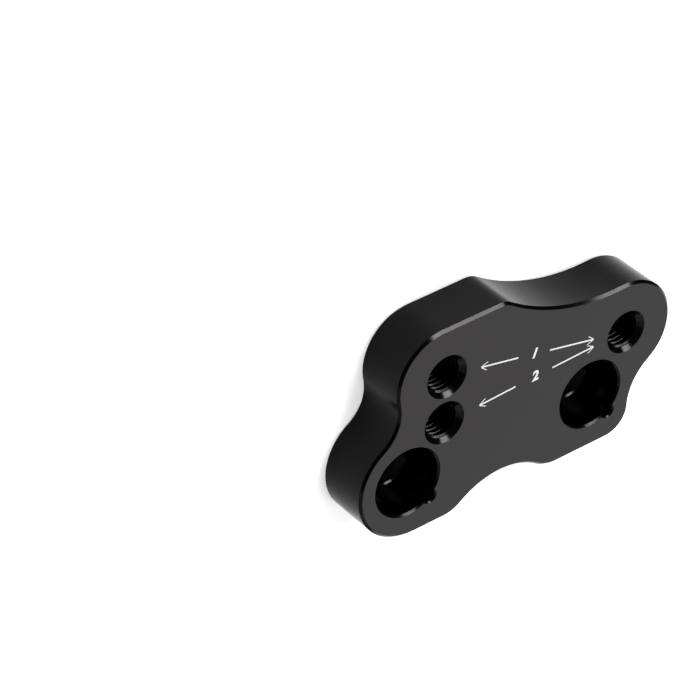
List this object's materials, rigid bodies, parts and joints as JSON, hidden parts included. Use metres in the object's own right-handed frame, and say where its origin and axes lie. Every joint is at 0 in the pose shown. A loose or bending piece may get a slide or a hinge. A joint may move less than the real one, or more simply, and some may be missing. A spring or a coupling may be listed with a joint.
{
  "type": "motorcycle handlebar riser plate",
  "caption": "Flat machined plate with lobed ends that raises and moves a motorcycle handlebar clamp, with counterbored bolt holes and tapped holes for alternative bar settings.",
  "frame": {"origin": "on the underside, midway between the axes of the two riser bolts", "axes": "+X along the bolt line towards the end with the single tapped hole, +Y towards the straight top edge, +Z out of the counterbored upper face"},
  "size_m": [0.0767, 0.0443, 0.0125],
  "materials": {
    "black_anodised_aluminium": "satin black anodised over a fine machined surface",
    "laser_marking": "matt pale grey, bleached into the anodising by a laser"
  },
  "bodies": {
    "root": {"riser_plate": "black_anodised_aluminium"}
  },
  "joints": []
}
